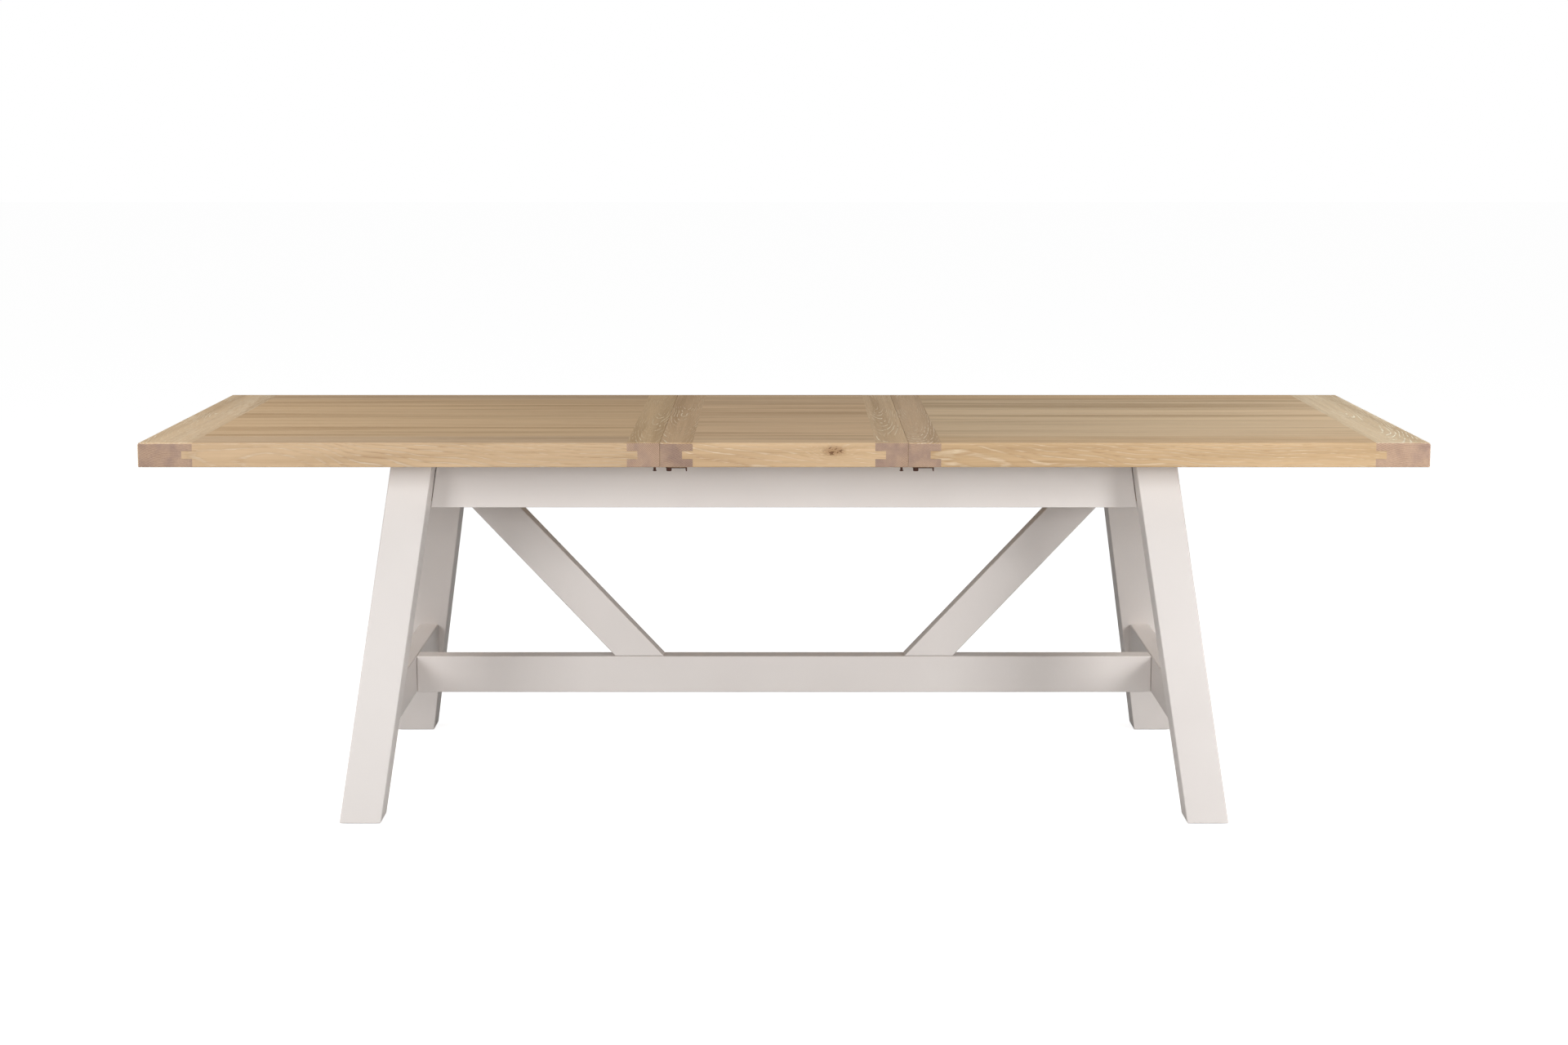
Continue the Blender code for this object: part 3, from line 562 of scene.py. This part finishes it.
def makeField(name, body):
    # separate planks, edge to edge, of slightly different widths and tones
    node = name + "_panel"
    (x0, y0, z0), (x1, y1, z1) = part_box(node)
    outline = tonguedOutline(node)
    shares = [dice.uniform(*topLook["plankWidths"]) for _ in range(topLook["planks"])]
    bm = newBoardMesh()
    start, depth = y0 - jointGap, y1 - y0 + 2 * jointGap
    for share in shares:
        end = start + depth * share / sum(shares)
        faces = addBlock(bm, outline, "Y", start, end)
        middle = Vector(((x0 + x1) / 2, (start + end) / 2, (z0 + z1) / 2))
        tone = dice.uniform(*topLook["plankTones"])
        markBoard(bm, faces, middle, Vector(topLook["fieldTonesAndSheen"][body]) * tone)
        start = end
    finishPiece("oak_" + name + "_planks", bm, [oakPlank], body, [node])


topRound = {"width": topLook["arris"], "segments": topLook["segments"]}
knotLook = {
    "at": (0.100, -halfDepth, tableTop - 0.017),
    "size": 0.024,                 # reach, ragged, halo and heart are shares of it
    "squeeze": 2.2,                # length over height
    "grit": 0.009,                 # metres from one crack to the next
    "bulge": 0.016,                # how far it pushes the rings aside, in metres
    "reach": 2.6,
    "ragged": 1.6,
    "halo": (0.9, 2.2),
    "haloShare": 0.75,
    "heart": (0.5, 1.1),
    "cracks": (0.50, 0.60),
}
oakKnotty = limedOak("limedOakKnottyRail", railFigure, knot=knotLook)
for name in ("top_left", "top_right", "leaf"):
    boards = ("left_board", "right_board") if name == "leaf" else ("end_board", "seam_board")
    for board in boards:
        makeCrossBoard(f"{name}_{board}", name)
    for face in ("front", "back"):
        knotty = name == "leaf" and face == "front"
        makeRail(f"{name}_{face}_rail", name, oakKnotty if knotty else oakRail)
    makeField(name, name)
print("oak top made")


baseLook = {"arris": 0.0028, "apronArris": 0.0016, "segments": 4}
baseRound = {"width": baseLook["arris"], "segments": baseLook["segments"], "limit": "ANGLE"}


def spanAt(node, axis, value, wanted):
    # lowest and highest `wanted` coordinate among the node's points at one level of `axis`
    found = [v.co[wanted] for v in nodes[node].data.vertices if near(v.co[axis], value)]
    return min(found), max(found)


def makeLeg(node):
    (x0, y0, z0), (x1, y1, z1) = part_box(node)
    foot = [spanAt(node, 2, z0, axis) for axis in (0, 1)]
    head = [spanAt(node, 2, z1, axis) for axis in (0, 1)]
    bm = bmesh.new()
    outline = rectangle((foot[0][0], foot[1][0]), (foot[0][1], foot[1][1]))
    addBlock(bm, outline, "Z", z0, z1)
    lean = Vector((head[0][0] - foot[0][0], head[1][0] - foot[1][0], 0))
    bmesh.ops.translate(bm, vec=lean, verts=[v for v in bm.verts if near(v.co.z, z1)])
    finishPiece("painted_" + node, bm, [paintUpright], "base", [node], baseRound)


def makeCrossMember(node):
    (x0, y0, z0), (x1, y1, z1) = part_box(node)
    low, high = spanAt(node, 2, z0, 1), spanAt(node, 2, z1, 1)
    outline = [(low[0], z0), (low[1], z0), (high[1], z1), (high[0], z1)]
    bm = bmesh.new()
    addBlock(bm, outline, "X", x0, x1)
    finishPiece("painted_" + node, bm, [paintAlongY], "base", [node], baseRound)


def makeApron(node):
    (x0, y0, z0), (x1, y1, z1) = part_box(node)
    low, high = spanAt(node, 2, z0, 0), spanAt(node, 2, z1, 0)
    outline = [(low[0], z0), (low[1], z0), (high[1], z1), (high[0], z1)]
    bm = bmesh.new()
    addBlock(bm, outline, "Y", y0, y1)
    apronRound = dict(baseRound, width=baseLook["apronArris"])
    finishPiece("painted_" + node, bm, [paintAlongX], "base", [node], apronRound)


def makeBrace(side):
    node = "brace_" + side
    (x0, y0, z0), (x1, y1, z1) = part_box(node)
    endOfBrace = x0 if side == "left" else x1
    foot, head = spanAt(node, 2, z0, 0), spanAt(node, 2, z1, 0)
    cut = spanAt(node, 0, endOfBrace, 2)
    if side == "left":
        outline = [(foot[1], z0), (foot[0], z0), (endOfBrace, cut[0]), (endOfBrace, z1), (head[1], z1)]
    else:
        outline = [(foot[0], z0), (foot[1], z0), (endOfBrace, cut[0]), (endOfBrace, z1), (head[0], z1)]
    bm = bmesh.new()
    addBlock(bm, outline, "Y", y0, y1)
    finishPiece("painted_" + node, bm, [paintBrace[side]], "base", [node], baseRound)


def makeStretcher():
    node = "centre_stretcher"
    (x0, y0, z0), (x1, y1, z1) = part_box(node)
    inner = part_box("end_stretcher_right")[0].x - jointGap          # shoulders, without the tenons
    bm = bmesh.new()
    addBlock(bm, rectangle((y0, z0), (y1, z1)), "X", -inner, inner)
    finishPiece("painted_" + node, bm, [paintAlongX], "base", [node], baseRound)


makeStretcher()
for side in ("left", "right"):
    makeBrace(side)
    makeCrossMember("end_stretcher_" + side)
    nodes["head_rail_" + side].data.materials.clear()
    nodes["head_rail_" + side].data.materials.append(paintAlongY)
    for face in ("front", "back"):
        makeLeg(f"leg_{face}_{side}")
for face in ("front", "back"):
    makeApron("apron_" + face)
print("painted base made")


fittingLook = {
    "plate": 0.0012,              # sheet thickness
    "plateCorner": 0.003,
    "arris": 0.0003,
    "pin": 0.003,
    "pinHead": 0.0055,
    "dome": 0.0014,
    "domeSegments": 4,
    "bar": 0.0035,                # thickness of a hook
    "stud": 0.0025,
    "studHead": 0.004,
    "studHeadHeight": 0.002,
    "eye": 0.0070,                # hook's outer radius round the pin
    "eyeGap": 0.0003,
    "tip": 0.0075,
    "mouth": 0.0030,
    "mouthFlare": 0.0015,
    "tab": (0.0045, 0.0075),      # beyond the tip's centre
    "tabHalfWidth": 0.0045,
    "tabDrop": 0.001,             # below the hook's upper face
    "tabToe": (0.001, 0.003),     # the slanted inner edge at its foot, across and up
    "keeperStud": 0.010,          # from the keeper's left edge
    "keeperScrews": 0.0065,       # each side of the stud
    "plateScrews": (0.017, 0.006),     # from the plate's right edge
    "sharpAngle": 40,
    "screw": 0.0022,
    "screwStand": 0.0002,
    "screwRecess": 0.0007,
    "crossArm": 0.62,             # the recess's shares of the head's radius
    "crossHalfWidth": 0.16,
    "screwBack": 0.8,
    "segments": 40,
}
fittingRound = {"width": fittingLook["arris"], "segments": 2, "limit": "ANGLE"}


def circle(centre, radius, start=0.0, end=360.0):
    count = max(4, round(fittingLook["segments"] * abs(end - start) / 360))
    steps = count if abs(end - start) == 360 else count + 1
    turns = [math.radians(start + (end - start) * i / count) for i in range(steps)]
    return [(centre.x + radius * math.cos(t), centre.y + radius * math.sin(t)) for t in turns]


def addSheet(bm, outline, holes, low, high):
    # flat piece with holes, standing from low to high
    levels = []
    for level in (low, high):
        loops = [[bm.verts.new((x, y, level)) for x, y in loop] for loop in (outline, *holes)]
        edges = [bm.edges.new((loop[i - 1], loop[i])) for loop in loops for i in range(len(loop))]
        bmesh.ops.triangle_fill(bm, edges=edges, use_beauty=True)
        levels.append(loops)
    for lower, upper in zip(*levels):
        for i in range(len(lower)):
            bm.faces.new((lower[i - 1], lower[i], upper[i], upper[i - 1]))
    bmesh.ops.recalc_face_normals(bm, faces=bm.faces)


def addRivet(bm, centre, radius, low, high, dome):
    # round head with a domed lower face
    addBlock(bm, circle(centre, radius), "Z", low, high)
    rim = []
    for edge in bm.edges:
        ends = [vert.co for vert in edge.verts]
        if all(near(co.z, low, 1e-6) and near((co.xy - centre.xy).length, radius, 1e-6) for co in ends):
            rim.append(edge)
    bmesh.ops.bevel(bm, geom=rim, offset=dome, segments=fittingLook["domeSegments"], profile=0.5,
                    affect="EDGES", material=-1)


def addScrew(bm, centre, low):
    # countersunk screw seen from below, with a cross recess
    radius = fittingLook["screw"]
    arm, width = radius * fittingLook["crossArm"], radius * fittingLook["crossHalfWidth"]
    quarter = [(width, width), (width, arm), (-width, arm)]
    cross = []
    for turn in range(4):
        cos, sin = round(math.cos(turn * math.pi / 2)), round(math.sin(turn * math.pi / 2))
        cross += [(centre.x + x * cos - y * sin, centre.y + x * sin + y * cos) for x, y in quarter]
    middle = low + fittingLook["screwRecess"]
    addSheet(bm, circle(centre, radius - fittingLook["screwStand"] / 2), [cross], low, middle)
    addBlock(bm, circle(centre, radius * fittingLook["screwBack"]), "Z", middle,
             middle + fittingLook["screwStand"])


def roundedPlate(low, high):
    r = fittingLook["plateCorner"]
    corners = [((high.x - r, high.y - r), 0), ((low.x + r, high.y - r), 90),
               ((low.x + r, low.y + r), 180), ((high.x - r, low.y + r), 270)]
    return [point for place, start in corners for point in circle(Vector(place), r, start, start + 90)]


def makePlate(node, body, pinCentre, pinRadius, headRadius, headTop, screwPlaces):
    # sheet plate under a board, its screws, and the pin or stud riveted into it
    low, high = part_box(node)
    sheetLow = high.z - fittingLook["plate"]
    screwLow = sheetLow - fittingLook["screwStand"]
    bm = bmesh.new()
    addSheet(bm, roundedPlate(low, high), [circle(place, fittingLook["screw"]) for place in screwPlaces],
             sheetLow, high.z)
    for place in screwPlaces:
        addScrew(bm, place, screwLow)
    embed = fittingLook["arris"]
    addBlock(bm, circle(pinCentre, pinRadius), "Z", headTop - embed, sheetLow + embed)
    addRivet(bm, pinCentre, headRadius, low.z, headTop, fittingLook["dome"])
    finishPiece("steel_" + node, bm, [darkSteel], body, [node], None, fittingLook["sharpAngle"])


def makeHook(node, body, pivot, inside):
    # flat hook folded back; its mouth opens towards the table's middle and a tab turns down at its tip
    low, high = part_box(node)
    look = fittingLook
    tip = Vector((high.x - look["tip"], pivot.y))
    mouth, flare = look["mouth"], look["mouthFlare"]
    closeAngle = math.degrees(math.acos(mouth / look["tip"]))
    shoulderY = look["tip"] - (look["tip"] - look["eye"]) * (mouth + flare) / (tip.x - pivot.x)
    origin = Vector((0.0, 0.0))
    outline = [(pivot.x + x, y) for x, y in circle(origin, look["eye"], 90, 270)]
    outline += [(tip.x + x, y) for x, y in circle(origin, look["tip"], -90, closeAngle)]
    outline += [(tip.x + x, y) for x, y in circle(origin, mouth, 0, -180)]
    outline += [(tip.x - mouth - flare, 0.0), (tip.x - mouth - flare, shoulderY)]
    outline = [(x, pivot.y + inside * y) for x, y in outline]
    bm = bmesh.new()
    addSheet(bm, outline, [circle(pivot, look["pin"] + look["eyeGap"])], pivot.z, high.z)
    inner, outer = (tip.x + x for x in look["tab"])
    toe, heel = look["tabToe"]
    tabTop = high.z - look["tabDrop"]
    wide = look["tabHalfWidth"]
    tab = [(inner, tabTop), (inner, low.z + heel), (inner + toe, low.z), (outer, low.z), (outer, tabTop)]
    addBlock(bm, tab, "Y", pivot.y - wide, pivot.y + wide)
    sharp = look["sharpAngle"]
    finishPiece("steel_" + node, bm, [darkSteel], body, [node], fittingRound, sharp)


for side in ("left", "right"):
    for face in ("front", "back"):
        name = f"{face}_{side}"
        hookLow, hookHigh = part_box("catch_hook_" + name)
        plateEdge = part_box("catch_plate_" + name)[1].x
        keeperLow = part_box("catch_keeper_" + name)[0]
        middleY = (hookLow.y + hookHigh.y) / 2
        pivot = Vector((hookLow.x + fittingLook["eye"], middleY, hookHigh.z - fittingLook["bar"]))
        stud = Vector((keeperLow.x + fittingLook["keeperStud"], pivot.y, keeperLow.z))
        holder, keeper = ("leaf", "top_left") if side == "left" else ("top_right", "leaf")
        makePlate("catch_plate_" + name, holder, pivot, fittingLook["pin"], fittingLook["pinHead"],
                  pivot.z - fittingLook["eyeGap"],
                  [Vector((plateEdge - inward, pivot.y)) for inward in fittingLook["plateScrews"]])
        beside = Vector((0.0, fittingLook["keeperScrews"], 0.0))
        makePlate("catch_keeper_" + name, keeper, stud, fittingLook["stud"], fittingLook["studHead"],
                  keeperLow.z + fittingLook["studHeadHeight"], [stud - beside, stud + beside])
        makeHook("catch_hook_" + name, "hook_" + name, pivot, 1 if face == "front" else -1)

glideLook = {"rim": 0.0012}
for side in ("left", "right"):
    for face in ("front", "back"):
        node = f"glide_{face}_{side}"
        low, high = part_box(node)
        bm = bmesh.new()
        addRivet(bm, (low + high) / 2, (high.x - low.x) / 2, low.z, high.z, glideLook["rim"])
        finishPiece("nylon_" + node, bm, [nylon], "base", [node], None, fittingLook["sharpAngle"])
print("fittings made")


finishes = {"runner": beechAlongX, "guide_rail": beechAlongX, "cross_bearer": beechAlongY,
            "corner_block": beechAlongY, "glide_strip": nylon}
for name, node in nodes.items():                   # hidden woodwork keeps its solids
    for start, material in finishes.items():
        if name.startswith(start):
            node.data.materials.clear()
            node.data.materials.append(material)
print("hidden woodwork finished")


studio = {"sky": 0.22, "floorColour": 0.62, "floorGlow": 0.85, "floorHalf": 40.0}
floorMesh = bpy.data.meshes.new("floor")
floorBm = bmesh.new()
bmesh.ops.create_grid(floorBm, x_segments=1, y_segments=1, size=studio["floorHalf"])
floorBm.to_mesh(floorMesh)
floorBm.free()
floor = bpy.data.objects.new("floor", floorMesh)
bpy.context.scene.collection.objects.link(floor)
floorPaint = bpy.data.materials.new("paleStudioFloor")
floorPaint.use_nodes = True
floorShader = floorPaint.node_tree.nodes["Principled BSDF"]
floorShader.inputs["Base Color"].default_value = (*[studio["floorColour"]] * 3, 1.0)
floorShader.inputs["Roughness"].default_value = 0.9
floorShader.inputs["Specular IOR Level"].default_value = 0.0
floorShader.inputs["Emission Color"].default_value = (1.0, 1.0, 1.0, 1.0)
floorTree = floorPaint.node_tree
floorSeen = addNode(floorTree, "ShaderNodeLightPath", output="Is Camera Ray")
glow = addNode(floorTree, ramp, {0: floorSeen, 4: studio["floorGlow"]})
floorTree.links.new(glow, floorShader.inputs["Emission Strength"])      # white to the eye, not a lamp
floorMesh.materials.append(floorPaint)

world = bpy.data.worlds.new("studio")
bpy.context.scene.world = world
world.use_nodes = True
skyTree = world.node_tree
sky = skyTree.nodes["Background"]
sky.inputs["Color"].default_value = (1.0, 1.0, 1.0, 1.0)
seen = addNode(skyTree, "ShaderNodeLightPath", output="Is Camera Ray")
strength = addNode(skyTree, ramp, {0: seen, 3: studio["sky"]})
skyTree.links.new(strength, sky.inputs["Strength"])


def addSoftbox(name, place, target, size, power):
    lamp = bpy.data.lights.new(name, "AREA")
    lamp.shape = "RECTANGLE"
    lamp.size, lamp.size_y = size
    lamp.energy = power
    box = bpy.data.objects.new(name, lamp)
    bpy.context.scene.collection.objects.link(box)
    box.location = place
    box.rotation_euler = (Vector(target) - Vector(place)).to_track_quat("-Z", "Y").to_euler()
    box.visible_camera = False


softboxes = {
    "softbox_front_left": {
        "place": (-2.2, -3.0, 1.65), "aim": (-0.4, 0, 0.6), "size": (1.2, 1.5), "power": 41.0},
    "softbox_front_right": {
        "place": (2.7, -3.0, 1.65), "aim": (0.4, 0, 0.6), "size": (1.2, 1.5), "power": 61.0},
    "softbox_end_left": {
        "place": (-3.4, -0.4, 2.3), "aim": (-1.0, 0, 0.5), "size": (1.6, 1.2), "power": 52.0},
    "softbox_end_right": {
        "place": (3.4, -0.4, 2.3), "aim": (1.0, 0, 0.5), "size": (1.6, 1.2), "power": 55.0},
    "softbox_camera": {
        "place": (0.0, -5.6, 1.5), "aim": (0, 0, 0.5), "size": (2.4, 1.2), "power": 36.0},
    "softbox_over_left": {
        "place": (-1.5, 0.1, 1.6), "aim": (-1.35, 0, 0.79), "size": (0.8, 0.9), "power": 1.2},
    "softbox_over_right": {
        "place": (1.5, 0.1, 1.6), "aim": (1.35, 0, 0.79), "size": (0.8, 0.9), "power": 1.2},
}
for name, box in softboxes.items():
    addSoftbox(name, box["place"], box["aim"], box["size"], box["power"])

viewpoint = {"height": 1.4407, "distance": 5.9067, "tilt": 8.51, "lens": 62.51}
camera = bpy.data.cameras.new("camera")
camera.lens = viewpoint["lens"]
camera.sensor_width = 36.0
camera.clip_end = 200.0
cameraObject = bpy.data.objects.new("camera", camera)
bpy.context.scene.collection.objects.link(cameraObject)
cameraObject.location = (0.0, -viewpoint["distance"], viewpoint["height"])
cameraObject.rotation_euler = (math.radians(90 - viewpoint["tilt"]), 0.0, 0.0)
bpy.context.scene.camera = cameraObject
bpy.context.scene.view_settings.view_transform = "Standard"
print("floor, light and camera placed")
